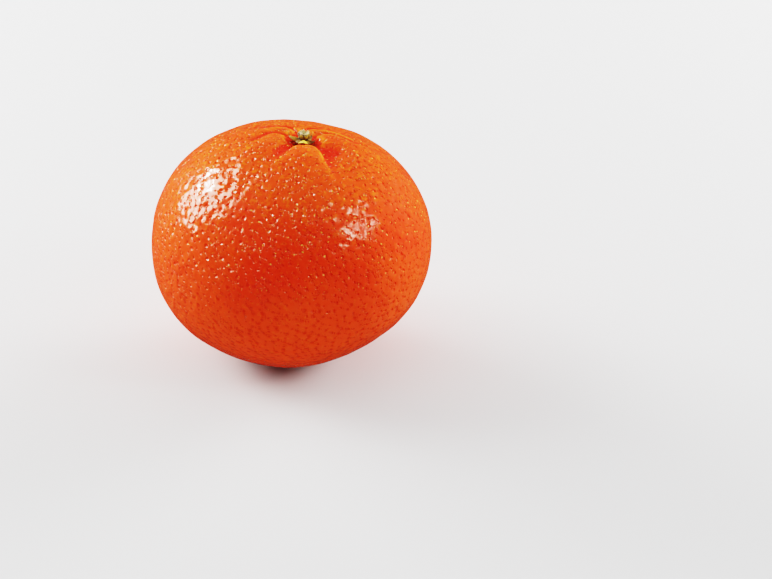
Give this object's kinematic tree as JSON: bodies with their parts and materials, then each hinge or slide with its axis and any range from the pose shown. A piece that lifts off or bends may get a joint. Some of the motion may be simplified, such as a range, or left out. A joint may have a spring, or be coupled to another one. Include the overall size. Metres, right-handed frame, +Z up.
{
  "type": "mandarin",
  "caption": "Whole ripe mandarin, slightly flattened, with a puckered stem end that holds a lobed green calyx and a cut stem stub, resting on its blossom end.",
  "frame": {"origin": "under the middle of the fruit's outline, on the surface it rests on", "axes": "+Z up, out of the resting surface; +X to the side the stem end leans towards, along the fruit's widest direction; +Y to the back, away from the picture's viewer"},
  "size_m": [0.062, 0.0598, 0.0527],
  "materials": {
    "peel": "orange peel, semi-gloss and pitted with oil glands",
    "calyx_green": "dry olive-green plant tissue, matt",
    "stem_wood": "cut green-brown stem, matt"
  },
  "bodies": {
    "root": {"fruit": "peel", "calyx": "calyx_green", "stem_stub": "stem_wood"}
  },
  "joints": []
}
